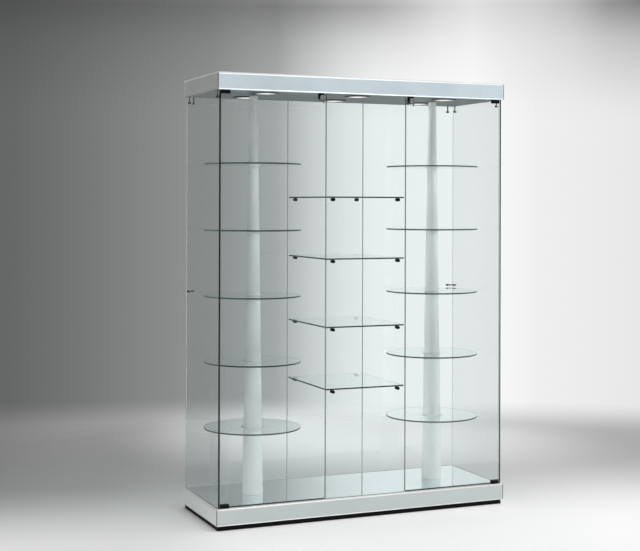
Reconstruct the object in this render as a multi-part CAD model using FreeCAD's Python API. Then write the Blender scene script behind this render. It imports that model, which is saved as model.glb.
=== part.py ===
import FreeCAD, Part
import math
import os

# Revolving glass display cabinet: an aluminium base and canopy joined by glass panes, a door at each
# end of the front, a turning column with five round shelves behind each door, and four fixed shelves
# on pegs between them.
# Millimetres, +Z up, the front faces -Y, the origin is on the floor under the middle of the rails.

Vector = FreeCAD.Vector

# ---- overall sizes
width = 1330.0
depth = 460.0
height = 1855.0
plinthHeight = 20.0
baseHeight = 71.0
canopyHeight = 72.0

# ---- rails
railWall = 3.0
railEdgeRound = 2.0
flangeReach = 24.0
ledgeReach = 14.0
grooveDepth = 12.0
screwPilotDepth = 2.0

# ---- glass
glassThickness = 6.0
glassSetback = 9.0
gasketWall = 2.0
glazingGap = 0.5
paneGap = 3.0
rearPaneGap = 2.0
edgeChamfer = 0.6
fittingChamfer = 1.0

# ---- floor, soffit and covers
mirrorThickness = 5.0
deckThickness = 12.0
soffitThickness = 6.0
soffitRise = 1.0
topPanelThickness = 5.0
bottomBoardThickness = 8.0
boardGap = 0.5

# ---- turning shelves and columns
shelfThickness = 6.0
shelfCount = 5
shelfFaceGap = 11.0
shelfSideGap = 18.0
shelfInnerGap = 40.0
floorToFirstShelf = 285.0
lastShelfToSoffit = 292.0
columnFootDiameter = 88.0
columnHeadDiameter = 34.0
columnWall = 2.5
columnFloorGap = 0.5
columnSoffitGap = 4.0
capThickness = 3.0
capPlugLength = 12.0
capBevel = 1.0
hubPlugLength = 20.0
hubFlangeDiameter = 56.0
hubClearance = 2.0
hubShoulder = 2.0
spindleDiameter = 16.0
driveDiameter = 10.0
driveLength = 16.0
headPinDiameter = 10.0
headPinLength = 15.0
runningFit = 0.08
socketFit = 0.05
spindleRunGap = 0.5
collarSleeve = 2.0
collarFlange = 7.0
collarThickness = 4.0
slipFit = 0.2

# ---- drive
motorDiameter = 38.0
motorFloorGap = 3.0
gearboxDiameter = 62.0
gearboxHeight = 18.0
earReach = 12.0
earThickness = 3.0
driveEndGap = 1.0
bushWall = 4.0
thrustWidth = 19.0
thrustThickness = 3.0
headBushWall = 3.0
headBushFlange = 5.0
headBushLip = 4.0

# ---- centre shelves and pegs
centreFirstHeight = 457.0
centreLastToSoffit = 431.0
centreMiddleGap = 286.0
centreShelfSideGap = 3.0
centreShelfFaceGap = 3.0
pegDiameter = 14.0
pegLength = 16.0
pegCap = 4.0
pegStud = 8.0
pegEdgeInset = 33.0
studClearance = 0.2

# ---- clips that tie the panes to the canopy and to each other
clipInset = 27.0
clipSideInset = 25.0
clipBarWidth = 5.0
clipBarThickness = 3.0
clipKnobDiameter = 9.0
clipKnobLength = 8.0
clipCap = 3.0
clipStud = 6.0
clipDrop = 27.0
connectorHeight = 850.0

# ---- doors, hinges and locks
doorSideGap = 2.0
doorHeadGap = 5.0
doorFootGap = 5.0
pivotInset = 12.0
clampLength = 38.0
clampThickness = 20.0
clampHeight = 15.0
clampRunGap = 0.5
hingePinDiameter = 8.0
hingePinReach = 8.5
hingeBushLength = 10.0
hingeBushWall = 2.0
lockEdgeInset = 21.5
lockWidth = 22.0
lockTopGap = 1.0
lockFrontReach = 10.0
lockRearReach = 6.0
lockBarHeight = 11.0
lockBarrelDiameter = 20.0
lockLegDrop = 25.0
plugDiameter = 12.0
plugWall = 0.92
plugBackWall = 1.0
plugProud = 1.5
plugEndGap = 1.0
keyThickness = 2.0
keyBladeHeight = 7.0
keyBladeLength = 7.0
keySlotClearance = 0.2
keyEndGap = 0.5
keyShankLength = 9.0
keyShankHeight = 4.9
keyBowDepth = 10.0
keyBowRound = 4.5
keyBowTop = 9.0
keyBowDrop = 26.0
keyHoleDiameter = 4.0
boltDiameter = 5.0
boltLength = 9.0
boltEndGap = 0.5
boltAxisReach = 3.5
keeperClearance = 0.5
keeperWall = 1.2
keeperDepth = 10.0

# ---- downlights
lightInset = 8.0
lightEdgeGap = 105.0
bezelDiameter = 110.0
bezelLip = 12.0
bezelProud = 4.5
bezelFace = 1.0
bezelBevel = 1.0
bezelNeck = 10.0
lensThickness = 3.0
lensClearance = 0.1
canEdge = 1.0
canHeight = 32.0
canWall = 1.5
lampDiameter = 60.0
lampNose = 50.0
lampDepth = 22.0

# ---- feet, plinth, brackets and inlets
plinthRecess = 8.0
plinthBoard = 12.0
plinthFloorGap = 1.0
footPadDiameter = 34.0
footPadHeight = 5.0
footStemDiameter = 8.0
footSideInset = 65.0
footFaceInset = 55.0
bracketLeg = 40.0
bracketThickness = 3.0
bracketHeight = 30.0
baseBracketGap = 5.0
screwSpots = (16.0, 32.0)
screwDiameter = 4.0
screwHeadDiameter = 7.0
screwHeadHeight = 2.5
grommetDiameter = 18.0
grommetBore = 7.0
inletSideInset = 120.0
transformerSize = (130.0, 62.0, 32.0)
transformerChamfer = 2.0
ventLength = 90.0
ventWidth = 6.0
ventPitch = 16.0
ventCount = 5

# ---- levels
halfWidth = width / 2
halfDepth = depth / 2
floorLevel = plinthHeight + baseHeight
canopyLevel = height - canopyHeight
soffitLevel = canopyLevel + soffitRise
soffitTop = soffitLevel + soffitThickness
deckTop = floorLevel - mirrorThickness
deckBottom = deckTop - deckThickness
boardBottom = plinthHeight + railWall
boardTop = boardBottom + bottomBoardThickness

# ---- distances in from the outer faces of the rails
glassInner = glassSetback + glassThickness
grooveOuter = glassSetback - gasketWall
grooveInner = glassInner + gasketWall
railInner = grooveInner + railWall
paneMiddle = glassSetback + glassThickness / 2

# ---- faces of the glass
sideFace = halfWidth - glassInner
frontFace = halfDepth - glassInner
sideOuter = halfWidth - glassSetback
frontOuter = halfDepth - glassSetback
paneBottom = floorLevel - grooveDepth + gasketWall
paneTop = canopyLevel + grooveDepth - gasketWall

# ---- plan positions
shelfRadius = frontFace - shelfFaceGap
columnX = sideFace - shelfSideGap - shelfRadius
centreHalf = columnX - shelfRadius - shelfInnerGap
doorOuter = sideFace - doorSideGap
doorInner = centreHalf + paneGap
pivotX = doorOuter - pivotInset
pivotY = halfDepth - paneMiddle
doorBottom = floorLevel + doorFootGap
doorTop = canopyLevel - doorHeadGap
pegX = centreHalf - pegEdgeInset
lightX = columnX - lightInset
lightY = halfDepth - lightEdgeGap
clipX = sideFace - clipInset
clipY = frontFace - clipSideInset
lockX = doorInner + lockEdgeInset

# ---- column and spindle levels
thrustTop = deckTop + thrustThickness
hubBottom = thrustTop + runningFit
shoulderBottom = floorLevel + columnFloorGap
columnFoot = shoulderBottom + hubShoulder
columnHead = soffitLevel - columnSoffitGap
columnTubeTop = columnHead - capThickness
earBottom = deckBottom - earThickness
gearboxBottom = earBottom - gearboxHeight
motorLength = gearboxBottom - boardTop - motorFloorGap

# ---- levels of the brackets and mains inlets, the pane clips and the corner ties
baseFixingLevel = (boardTop + deckBottom - railWall) / 2
baseBracketHeight = deckBottom - railWall - boardTop - 2 * baseBracketGap
canopyFixingLevel = (canopyLevel + grooveDepth + height - topPanelThickness) / 2
clipLevel = canopyLevel - clipDrop
connectorLevel = floorLevel + connectorHeight

# ---- locks
lockFront = -frontOuter - lockFrontReach
lockTop = canopyLevel - lockTopGap
boltY = -frontOuter - boltAxisReach
boltBoreBottom = lockTop - boltLength - 2 * boltEndGap
lockAxisZ = boltBoreBottom - plugWall - plugDiameter / 2 - runningFit
plugDepth = lockFrontReach - plugBackWall
keeperMouth = boltDiameter + 2 * keeperClearance


def box(x, y, z):
    """A box from its two limits along each axis."""
    solid = Part.makeBox(x[1] - x[0], y[1] - y[0], z[1] - z[0])
    solid.translate(Vector(x[0], y[0], z[0]))
    return solid


def rod(diameter, length, start, direction=(0, 0, 1)):
    """A cylinder from a start point along a direction."""
    return Part.makeCylinder(diameter / 2, length, Vector(*start), Vector(*direction))


def turned(outline, centre=(0.0, 0.0)):
    """A solid turned about a vertical axis from an outline of (radius, z) points."""
    points = [Vector(radius, 0, z) for radius, z in outline]
    face = Part.Face(Part.makePolygon(points + points[:1]))
    solid = face.revolve(Vector(0, 0, 0), Vector(0, 0, 1), 360)
    solid.translate(Vector(centre[0], centre[1], 0))
    return solid


def prism(outline, start, along):
    """A solid pushed along a vector from a flat outline of points, begun at a start point."""
    points = [Vector(*point) + Vector(*start) for point in outline]
    return Part.Face(Part.makePolygon(points + points[:1])).extrude(Vector(*along))


def cut(solid, tools):
    """The solid with every tool taken out of it."""
    return solid.cut(tools) if tools else solid


def joined(solids):
    """One solid made of several that overlap or touch."""
    return solids[0].fuse(solids[1:]).removeSplitter()


def mirrored(solids):
    """The same solids on the other side of the middle plane."""
    return [solid.mirror(Vector(0, 0, 0), Vector(1, 0, 0)) for solid in solids]


def softened(solid, size, keep=lambda edge: True):
    """The solid with the chosen edges chamfered."""
    edges = [edge for edge in solid.Edges if keep(edge)]
    return solid.makeChamfer(size, edges)


def write(node, solids):
    """One STEP file for a node."""
    shape = solids[0] if len(solids) == 1 else Part.makeCompound(solids)
    shape.exportStep("parts/" + node + ".step")


def columnRadius(z):
    """Outer radius of the tapered column at a height."""
    share = (z - columnFoot) / (columnHead - columnFoot)
    return (columnFootDiameter + (columnHeadDiameter - columnFootDiameter) * share) / 2


# ---------------------------------------------------------------- rails

def baseOutline(grooved):
    """Section of a base rail as (inset, z) points, with or without its glazing groove."""
    grooveFloor = floorLevel - grooveDepth
    webBottom = grooveFloor - railWall
    ledgeBottom = deckBottom - railWall
    groove = [(grooveOuter, floorLevel), (grooveOuter, grooveFloor),
              (grooveInner, grooveFloor), (grooveInner, floorLevel)]
    return ([(0, plinthHeight), (0, floorLevel)] + (groove if grooved else [])
            + [(railInner, floorLevel), (railInner, deckBottom),
               (railInner + ledgeReach, deckBottom), (railInner + ledgeReach, ledgeBottom),
               (grooveInner, ledgeBottom), (grooveInner, webBottom), (railWall, webBottom),
               (railWall, boardBottom), (flangeReach, boardBottom), (flangeReach, plinthHeight)])


def canopyOutline(grooved):
    """Section of a canopy rail as (inset, z) points, with or without its glazing groove."""
    grooveRoof = canopyLevel + grooveDepth
    webTop = grooveRoof + railWall
    seat = height - topPanelThickness
    groove = [(grooveOuter, canopyLevel), (grooveOuter, grooveRoof),
              (grooveInner, grooveRoof), (grooveInner, canopyLevel)]
    return ([(0, canopyLevel)] + (groove if grooved else [])
            + [(railInner, canopyLevel), (railInner, soffitTop),
               (railInner + ledgeReach, soffitTop), (railInner + ledgeReach, soffitTop + railWall),
               (railInner, soffitTop + railWall), (railInner, webTop), (railWall, webTop),
               (railWall, seat - railWall), (flangeReach, seat - railWall), (flangeReach, seat),
               (railWall, seat), (railWall, height), (0, height)])


def mitredRail(outline, length, turn, offset):
    """A rail cut at 45 degrees at both ends, turned about Z and moved to its side."""
    half = length / 2
    section = [(0, inset, z) for inset, z in outline]
    rail = prism(section, (-half, 0, 0), (length, 0, 0))
    levels = [z for inset, z in outline]
    middle = (min(levels) + max(levels)) / 2
    halfTall = (max(levels) - min(levels)) / 2
    outer = [edge for edge in rail.Edges if abs(edge.CenterOfMass.y) < 0.01
             and abs(abs(edge.CenterOfMass.z - middle) - halfTall) < 0.01]
    rail = rail.makeFillet(railEdgeRound, outer)
    reach = railInner + ledgeReach + railWall
    corner = [(0, 0, -1), (0, reach, -1), (reach, reach, -1)]
    farCorner = [(-x, y, z) for x, y, z in corner]
    rail = cut(rail, [prism(corner, (-half, 0, 0), (0, 0, height + 2)),
                      prism(farCorner, (half, 0, 0), (0, 0, height + 2))])
    rail.rotate(Vector(0, 0, 0), Vector(0, 0, 1), turn)
    rail.translate(Vector(offset[0], offset[1], 0))
    return rail


def railSet(outlineOf):
    """Front, rear, left and right rails of the base or the canopy."""
    return [mitredRail(outlineOf(False), width, 0, (0, -halfDepth)),
            mitredRail(outlineOf(True), width, 180, (0, halfDepth)),
            mitredRail(outlineOf(True), depth, -90, (-halfWidth, 0)),
            mitredRail(outlineOf(True), depth, 90, (halfWidth, 0))]


def screwPlaces(level):
    """Axis point and outward direction of each bracket screw at a bracket's middle height."""
    places = []
    inner = railWall + bracketThickness
    for sideX in (-1, 1):
        for sideY in (-1, 1):
            for spot in screwSpots:
                along = railWall + spot
                places.append(((sideX * (halfWidth - along), sideY * (halfDepth - inner), level),
                               (0, sideY, 0)))
                places.append(((sideX * (halfWidth - inner), sideY * (halfDepth - along), level),
                               (sideX, 0, 0)))
    return places


def screwHoles(level):
    """Blind pilot holes in the rails for the bracket screws."""
    return [rod(screwDiameter, bracketThickness + screwPilotDepth, place, way)
            for place, way in screwPlaces(level)]


def grommetHole(level):
    """The hole of a mains inlet in a rear rail."""
    start = (halfWidth - inletSideInset, halfDepth - railWall, level)
    return rod(grommetDiameter, railWall, start, (0, 1, 0))


def hingeBushHole(side, bottom, top):
    """The socket of one door pivot bush."""
    socket = hingePinDiameter + 2 * (hingeBushWall + socketFit)
    return rod(socket, top - bottom, (side * pivotX, -pivotY, bottom))


def frontGrooves(centre, side, z):
    """Grooves of a front rail: under the fixed centre pane and at the ends of both side panes."""
    left = box(*side, z)
    return [box(*centre, z), left] + mirrored([left])


def makeRails():
    """Base and canopy rails with their holes."""
    base = railSet(baseOutline)
    canopy = railSet(canopyOutline)
    centreGroove = ((-centreHalf - glazingGap, centreHalf + glazingGap),
                    (-halfDepth + grooveOuter, -halfDepth + grooveInner))
    sideGroove = ((-halfWidth + grooveOuter, -halfWidth + grooveInner),
                  (-frontOuter - glazingGap, -halfDepth + grooveInner))
    footGrooves = frontGrooves(centreGroove, sideGroove, (floorLevel - grooveDepth, floorLevel))
    headGrooves = frontGrooves(centreGroove, sideGroove, (canopyLevel, canopyLevel + grooveDepth))
    base[0] = cut(base[0], footGrooves
                  + [hingeBushHole(side, floorLevel - hingeBushLength, floorLevel) for side in (-1, 1)])
    canopy[0] = cut(canopy[0], headGrooves
                    + [hingeBushHole(side, canopyLevel, canopyLevel + hingeBushLength) for side in (-1, 1)]
                    + [keeperHole(side) for side in (-1, 1)])
    base[1] = cut(base[1], [grommetHole(baseFixingLevel)])
    canopy[1] = cut(canopy[1], [grommetHole(canopyFixingLevel)])
    base = [cut(rail, screwHoles(baseFixingLevel)) for rail in base]
    canopy = [cut(rail, screwHoles(canopyFixingLevel)) for rail in canopy]
    write("base_rails", base)
    write("canopy_rails", canopy)


def makeBrackets():
    """Eight angle brackets inside the rail corners, and their screws."""
    brackets = []
    screws = []
    for level, tall in ((baseFixingLevel, baseBracketHeight), (canopyFixingLevel, bracketHeight)):
        z = (level - tall / 2, level + tall / 2)
        x0 = -halfWidth + railWall
        y0 = -halfDepth + railWall
        angle = joined([box((x0, x0 + bracketLeg), (y0, y0 + bracketThickness), z),
                        box((x0, x0 + bracketThickness), (y0, y0 + bracketLeg), z)])
        left = [angle, angle.mirror(Vector(0, 0, 0), Vector(0, 1, 0))]
        holes = screwHoles(level)
        brackets += [cut(bracket, holes) for bracket in left + mirrored(left)]
        for place, way in screwPlaces(level):
            shank = rod(screwDiameter, bracketThickness + screwPilotDepth, place, way)
            back = tuple(-part for part in way)
            screws.append(joined([shank, rod(screwHeadDiameter, screwHeadHeight, place, back)]))
    write("corner_brackets", brackets)
    write("bracket_screws", screws)


# ---------------------------------------------------------------- plinth, feet and boards

def makePlinth():
    """Recessed plinth boards under the base rails; the rear one is notched for a lead."""
    x = halfWidth - plinthRecess
    y = halfDepth - plinthRecess
    z = (plinthFloorGap, plinthHeight)
    front = box((-x, x), (-y, -y + plinthBoard), z)
    side = box((-x, -x + plinthBoard), (-y + plinthBoard, y - plinthBoard), z)
    rear = box((-x, x), (y - plinthBoard, y), z)
    notchX = halfWidth - inletSideInset
    notch = box((notchX - grommetDiameter / 2, notchX + grommetDiameter / 2), (y - plinthBoard, y),
                (plinthFloorGap, plinthFloorGap + grommetBore))
    write("plinth", [front, cut(rear, [notch]), side] + mirrored([side]))


def footPlaces():
    """Centres of the levelling feet: one in the middle and four at the corners."""
    x = halfWidth - footSideInset
    y = halfDepth - footFaceInset
    return [(0.0, 0.0), (-x, -y), (-x, y), (x, -y), (x, y)]


def makeFeet():
    """Levelling feet: a round pad and a threaded stem up through the bottom board."""
    feet = []
    for x, y in footPlaces():
        pad = softened(rod(footPadDiameter, footPadHeight, (x, y, 0)), fittingChamfer)
        feet.append(joined([pad, rod(footStemDiameter, boardTop - footPadHeight, (x, y, footPadHeight))]))
    write("levelling_feet", feet)


def makeBoards():
    """Bottom board, deck, mirror floor, soffit and top panel."""
    wide = halfWidth - railWall - boardGap
    deep = halfDepth - railWall - boardGap
    stems = [rod(footStemDiameter, bottomBoardThickness, (x, y, boardBottom)) for x, y in footPlaces()]
    write("base_bottom_board", [cut(box((-wide, wide), (-deep, deep), (boardBottom, boardTop)), stems)])

    insideX = halfWidth - railInner - boardGap
    insideY = halfDepth - railInner - boardGap
    columns = [(side * columnX, 0.0) for side in (-1, 1)]
    socket = spindleDiameter + 2 * (bushWall + socketFit)
    bushes = [rod(socket, deckThickness, (x, y, deckBottom)) for x, y in columns]
    deck = box((-insideX, insideX), (-insideY, insideY), (deckBottom, deckTop))
    write("base_deck", [cut(deck, bushes)])

    eyes = [rod(hubFlangeDiameter + 2 * hubClearance, mirrorThickness, (x, y, deckTop)) for x, y in columns]
    mirror = softened(box((-insideX, insideX), (-insideY, insideY), (deckTop, floorLevel)), edgeChamfer)
    write("mirror_floor", [cut(mirror, eyes)])

    socket = headPinDiameter + 2 * (headBushWall + socketFit)
    holes = [rod(socket, soffitThickness, (x, y, soffitLevel)) for x, y in columns]
    holes += [rod(bezelDiameter - bezelLip, soffitThickness, (x, y, soffitLevel)) for x, y in lightPlaces()]
    soffit = box((-insideX, insideX), (-insideY, insideY), (soffitLevel, soffitTop))
    write("soffit_panel", [cut(soffit, holes)])

    panel = box((-wide, wide), (-deep, deep), (height - topPanelThickness, height))
    vents = []
    for side in (-1, 1):
        for row in range(ventCount):
            x = side * columnX + (row - (ventCount - 1) / 2) * ventPitch
            vents.append(box((x - ventWidth / 2, x + ventWidth / 2), (-ventLength / 2, ventLength / 2),
                             (height - topPanelThickness, height)))
    write("canopy_top_panel", [cut(panel, vents)])


# ---------------------------------------------------------------- fixed glass

def pegPlaces():
    """Axis (x, z) of the pegs under the centre shelves."""
    return [(side * pegX, top - shelfThickness - pegDiameter / 2)
            for top in centreShelfTops() for side in (-1, 1)]


def centreShelfTops():
    """Top faces of the four centre shelves: a lower pair and an upper pair about the middle gap."""
    first = floorLevel + centreFirstHeight
    last = soffitLevel - centreLastToSoffit
    step = (last - first - centreMiddleGap) / 2
    return [first, first + step, last - step, last]


def pegHoles(y, way):
    """Holes for the peg studs in the front or rear centre pane."""
    size = pegStud + 2 * studClearance
    return [rod(size, glassThickness, (x, y, z), (0, way, 0)) for x, z in pegPlaces()]


def rearClipHoles():
    """Clip holes in the rear panes."""
    size = clipStud + 2 * studClearance
    return [rod(size, glassThickness, (side * clipX, frontFace, z), (0, 1, 0))
            for side in (-1, 1) for z in (clipLevel, connectorLevel)]


def sideClipHoles():
    """Clip holes in the left side pane."""
    size = clipStud + 2 * studClearance
    places = [(-clipY, clipLevel), (clipY, clipLevel), (clipY, connectorLevel)]
    return [rod(size, glassThickness, (-sideFace, y, z), (-1, 0, 0)) for y, z in places]


def makePanes():
    """Side panes, three rear panes and the fixed centre pane of the front."""
    z = (paneBottom, paneTop)
    sideRear = frontFace - gasketWall - glazingGap
    side = softened(box((-sideOuter, -sideFace), (-frontOuter, sideRear), z), edgeChamfer)
    side = cut(side, sideClipHoles())
    write("side_pane_left", [side])
    write("side_pane_right", mirrored([side]))

    y = (frontFace, frontOuter)
    joint = centreHalf + rearPaneGap
    rearLeft = softened(box((-sideOuter, -joint), y, z), edgeChamfer)
    rearLeft = cut(rearLeft, rearClipHoles())
    write("rear_pane_left", [rearLeft])
    write("rear_pane_right", mirrored([rearLeft]))
    centre = softened(box((-centreHalf, centreHalf), y, z), edgeChamfer)
    write("rear_pane_centre", [cut(centre, pegHoles(frontFace, 1))])
    front = softened(box((-centreHalf, centreHalf), (-frontOuter, -frontFace), z), edgeChamfer)
    write("front_pane_centre", [cut(front, pegHoles(-frontFace, -1))])


def channel(x, y, floor, mouth, slot):
    """A U-shaped gasket: a bar from floor to mouth with a slot for the glass."""
    bar = box(x, y, (min(floor, mouth), max(floor, mouth)))
    inner = floor + (gasketWall if mouth > floor else -gasketWall)
    return cut(bar, [box(*slot, (min(inner, mouth), max(inner, mouth)))])


def makeChannels():
    """Gaskets in the grooves, along every fixed pane, at the foot and at the head."""
    gaskets = []
    sideRear = frontFace - gasketWall - glazingGap
    wideSlot = (-width, width)
    rearY = (frontFace - gasketWall, frontOuter + gasketWall)
    frontY = (-frontOuter - gasketWall, -frontFace + gasketWall)
    for floor, mouth in ((floorLevel - grooveDepth, floorLevel), (canopyLevel + grooveDepth, canopyLevel)):
        gaskets.append(channel((-sideOuter, sideOuter), rearY, floor, mouth,
                               (wideSlot, (frontFace, frontOuter))))
        gaskets.append(channel((-centreHalf, centreHalf), frontY, floor, mouth,
                               (wideSlot, (-frontOuter, -frontFace))))
        side = channel((-sideOuter - gasketWall, -sideFace + gasketWall), (-frontOuter, sideRear),
                       floor, mouth, ((-sideOuter, -sideFace), wideSlot))
        gaskets += [side] + mirrored([side])
    write("glazing_channels", gaskets)


def makeCentreShelves():
    """Four glass shelves between the fixed centre panes."""
    x = centreHalf - centreShelfSideGap
    y = frontFace - centreShelfFaceGap
    write("centre_shelves", [softened(box((-x, x), (-y, y), (top - shelfThickness, top)), edgeChamfer)
                             for top in centreShelfTops()])


def stud(x, y, z, way, sizes):
    """A knob inside the glass, a stud through it and a cap outside; way points outward."""
    knob, length, cap, core = sizes
    inside = tuple(-part for part in way)
    face = Vector(x, y, z)
    outer = face + Vector(*way) * glassThickness
    pieces = [softened(rod(knob, length, (x, y, z), inside), fittingChamfer),
              rod(core, glassThickness, (x, y, z), way),
              softened(rod(knob, cap, tuple(outer), way), fittingChamfer)]
    return joined(pieces)


def makePegs():
    """Sixteen pegs through the centre panes, four under each centre shelf."""
    sizes = (pegDiameter, pegLength, pegCap, pegStud)
    pegs = []
    for x, z in pegPlaces():
        pegs.append(stud(x, -frontFace, z, (0, -1, 0), sizes))
        pegs.append(stud(x, frontFace, z, (0, 1, 0), sizes))
    write("shelf_pegs", pegs)


def makeClips():
    """Clips that hang from the canopy rails and hold the panes, and the rear corner ties."""
    sizes = (clipKnobDiameter, clipKnobLength, clipCap, clipStud)
    half = clipBarWidth / 2
    thick = clipBarThickness
    barZ = (clipLevel, canopyLevel)
    clips = []
    for y in (-clipY, clipY):
        bar = box((-sideFace, -sideFace + thick), (y - half, y + half), barZ)
        clips.append(joined([stud(-sideFace, y, clipLevel, (-1, 0, 0), sizes), bar]))
    bar = box((-clipX - half, -clipX + half), (frontFace - thick, frontFace), barZ)
    clips.append(joined([stud(-clipX, frontFace, clipLevel, (0, 1, 0), sizes), bar]))
    tieZ = (connectorLevel - half, connectorLevel + half)
    tie = joined([stud(-sideFace, clipY, connectorLevel, (-1, 0, 0), sizes),
                  stud(-clipX, frontFace, connectorLevel, (0, 1, 0), sizes),
                  box((-sideFace, -sideFace + thick), (clipY, frontFace), tieZ),
                  box((-sideFace, -clipX), (frontFace - thick, frontFace), tieZ)])
    clips.append(tie)
    write("pane_clips", clips + mirrored(clips))


# ---------------------------------------------------------------- turning columns

def shelfTops():
    """Top faces of the round shelves."""
    first = floorLevel + floorToFirstShelf
    pitch = (soffitLevel - lastShelfToSoffit - first) / (shelfCount - 1)
    return [first + pitch * step for step in range(shelfCount)]


def collarBore(top):
    """Radius of the collar sleeve that a round shelf slips over."""
    return columnRadius(top - shelfThickness) + collarSleeve


def roundShelf(top):
    """One round glass shelf with its bore."""
    hole = collarBore(top) + slipFit
    bottom = top - shelfThickness
    rim = edgeChamfer
    outline = [(hole, bottom), (shelfRadius - rim, bottom), (shelfRadius, bottom + rim),
               (shelfRadius, top - rim), (shelfRadius - rim, top), (hole, top)]
    return turned(outline, (-columnX, 0))


def collar(top):
    """The flanged ring that wedges on the taper and carries one round shelf."""
    bottom = top - shelfThickness
    foot = bottom - collarThickness
    outline = [(columnRadius(foot) + runningFit, foot), (collarBore(top) + collarFlange, foot),
               (collarBore(top) + collarFlange, bottom), (collarBore(top), bottom),
               (collarBore(top), top), (columnRadius(top) + runningFit, top)]
    return turned(outline, (-columnX, 0))


def columnTube():
    """The tapered tube."""
    foot = columnRadius(columnFoot)
    head = columnRadius(columnTubeTop)
    outline = [(foot - columnWall, columnFoot), (foot, columnFoot),
               (head, columnTubeTop), (head - columnWall, columnTubeTop)]
    return turned(outline, (-columnX, 0))


def columnCap():
    """The cap in the head of the column, with the pin that turns in the soffit."""
    head = columnRadius(columnTubeTop)
    plug = head - columnWall - slipFit
    pin = headPinDiameter / 2
    plugBottom = columnTubeTop - capPlugLength
    pinTop = columnHead + headPinLength
    outline = [(0, plugBottom), (plug, plugBottom), (plug, columnTubeTop), (head, columnTubeTop),
               (head - capBevel, columnHead), (pin, columnHead), (pin, pinTop), (0, pinTop)]
    return turned(outline, (-columnX, 0))


def columnHub():
    """The hub in the foot of the column: plug, shoulder, flange, spindle and drive end."""
    plug = columnRadius(columnFoot + hubPlugLength) - columnWall - slipFit
    shoulder = columnFootDiameter / 2
    flange = hubFlangeDiameter / 2
    spindle = spindleDiameter / 2
    drive = driveDiameter / 2
    spindleEnd = deckBottom + spindleRunGap
    outline = [(0, columnFoot + hubPlugLength), (plug, columnFoot + hubPlugLength), (plug, columnFoot),
               (shoulder, columnFoot), (shoulder, shoulderBottom), (flange, shoulderBottom),
               (flange, hubBottom), (spindle, hubBottom), (spindle, spindleEnd), (drive, spindleEnd),
               (drive, deckBottom - driveLength), (0, deckBottom - driveLength)]
    return turned(outline, (-columnX, 0))


def makeColumns():
    """Both turning columns with their shelves."""
    pieces = {"column": [columnTube()], "column_cap": [columnCap()], "column_hub": [columnHub()],
              "shelf_collars": [collar(top) for top in shelfTops()]}
    for number, top in enumerate(shelfTops(), 1):
        pieces["round_shelf_" + str(number)] = [roundShelf(top)]
    for name, solids in pieces.items():
        write(name + "_left", solids)
        write(name + "_right", mirrored(solids))


def deckBush():
    """Bush in the deck whose flange carries the hub."""
    bore = spindleDiameter / 2 + runningFit
    outer = spindleDiameter / 2 + bushWall
    flange = spindleDiameter / 2 + thrustWidth
    return turned([(bore, deckBottom), (outer, deckBottom), (outer, deckTop), (flange, deckTop),
                   (flange, thrustTop), (bore, thrustTop)], (-columnX, 0))


def headBush():
    """Bush in the soffit for the pin of the column cap."""
    bore = headPinDiameter / 2 + runningFit
    outer = headPinDiameter / 2 + headBushWall
    flange = outer + headBushFlange
    top = soffitTop + headBushLip
    return turned([(bore, soffitLevel), (outer, soffitLevel), (outer, soffitTop), (flange, soffitTop),
                   (flange, top), (bore, top)], (-columnX, 0))


def hingeBush(bottom):
    """Bush in a rail for a door pivot pin."""
    bore = hingePinDiameter / 2 + runningFit
    outer = hingePinDiameter / 2 + hingeBushWall
    return turned([(bore, bottom), (outer, bottom), (outer, bottom + hingeBushLength),
                   (bore, bottom + hingeBushLength)], (-pivotX, -pivotY))


def makeBushes():
    """All eight pivot bushes."""
    left = [deckBush(), headBush(), hingeBush(floorLevel - hingeBushLength), hingeBush(canopyLevel)]
    write("pivot_bushes", left + mirrored(left))


def makeGearmotors():
    """A geared motor under the deck for each column, with mounting ears on its gearbox."""
    ears = box((-columnX - gearboxDiameter / 2 - earReach, -columnX + gearboxDiameter / 2 + earReach),
               (-earReach, earReach), (earBottom, deckBottom))
    gearbox = rod(gearboxDiameter, gearboxHeight, (-columnX, 0, gearboxBottom))
    motor = rod(motorDiameter, motorLength, (-columnX, 0, gearboxBottom - motorLength))
    boreLength = driveLength + driveEndGap
    bore = rod(driveDiameter + 2 * runningFit, boreLength, (-columnX, 0, deckBottom - boreLength))
    left = [cut(joined([ears, gearbox, motor]), [bore])]
    write("gearmotors", left + mirrored(left))


# ---------------------------------------------------------------- lighting and inlets

def lightPlaces():
    """Centres of the six downlights."""
    return [(x, y) for x in (-lightX, 0.0, lightX) for y in (-lightY, lightY)]


def makeDownlights():
    """Bezel, lens, can and lamp of every downlight."""
    outer = bezelDiameter / 2
    sight = outer - bezelLip
    neck = outer - bezelLip / 2 - studClearance
    seat = neck - canWall
    face = soffitLevel - bezelProud
    lensBottom = face + bezelFace
    lensTop = lensBottom + lensThickness
    lensEdge = seat - lensClearance
    bezel = [(sight, face), (outer - bezelBevel, face), (outer, face + bezelBevel), (outer, soffitLevel),
             (neck, soffitLevel), (neck, soffitLevel + bezelNeck), (seat, soffitLevel + bezelNeck),
             (seat, lensBottom), (sight, lensBottom)]
    lens = [(0, lensBottom), (lensEdge, lensBottom), (lensEdge, lensTop), (0, lensTop)]
    can = outer - canEdge
    canTop = soffitTop + canHeight
    shell = [(can - canWall, soffitTop), (can, soffitTop), (can, canTop), (0, canTop),
             (0, canTop - canWall), (can - canWall, canTop - canWall)]
    lampTop = canTop - canWall
    lampBottom = lampTop - lampDepth
    lampEdge = lampDiameter / 2
    lamp = [(0, lampBottom), (lampNose / 2, lampBottom), (lampEdge, (lampBottom + lampTop) / 2),
            (lampEdge, lampTop), (0, lampTop)]
    kinds = {"downlight_bezels": bezel, "downlight_lenses": lens,
             "downlight_cans": shell, "downlight_lamps": lamp}
    for name, outline in kinds.items():
        write(name, [turned(outline, place) for place in lightPlaces()])


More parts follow.
